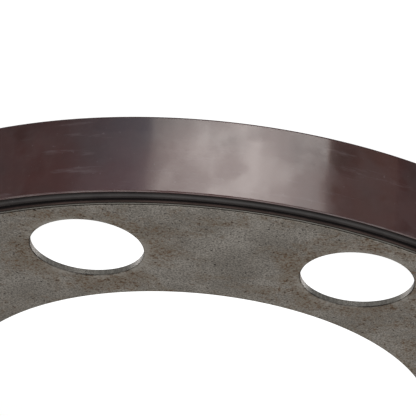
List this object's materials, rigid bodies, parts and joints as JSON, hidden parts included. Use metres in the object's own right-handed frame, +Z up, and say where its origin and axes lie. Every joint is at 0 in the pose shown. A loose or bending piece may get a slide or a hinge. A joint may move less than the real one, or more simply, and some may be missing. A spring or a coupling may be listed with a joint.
{
  "type": "toilet flange",
  "caption": "Swivel-ring closet flange: flat steel ring with large round holes, held captive in a shallow glossy red-brown moulded collar.",
  "frame": {"origin": "centre of the collar's floor face", "axes": "+Z up along the ring's axis, out of the steel ring's bare face; +X is midway between two of the ring's holes"},
  "size_m": [0.178, 0.178, 0.0168],
  "materials": {
    "ring_steel": "matte pickled sheet steel with fine grain, pits and rust bloom",
    "collar_moulding": "glossy dark red-brown moulding with soft circumferential smears",
    "hoop_steel": "dull bare steel edge",
    "bead_moulding": "satin dark red-brown moulding"
  },
  "bodies": {
    "collar": {"moulded_collar": "collar_moulding", "retaining_hoop": "hoop_steel", "closing_bead": "bead_moulding"},
    "ring": {"steel_ring": "ring_steel"}
  },
  "joints": [
    {"name": "ring_swivel", "type": "hinge", "parent": "collar", "child": "ring", "pos_m": [0, 0, 0.0157], "axis": [0, 0, 1], "continuous": true}
  ]
}
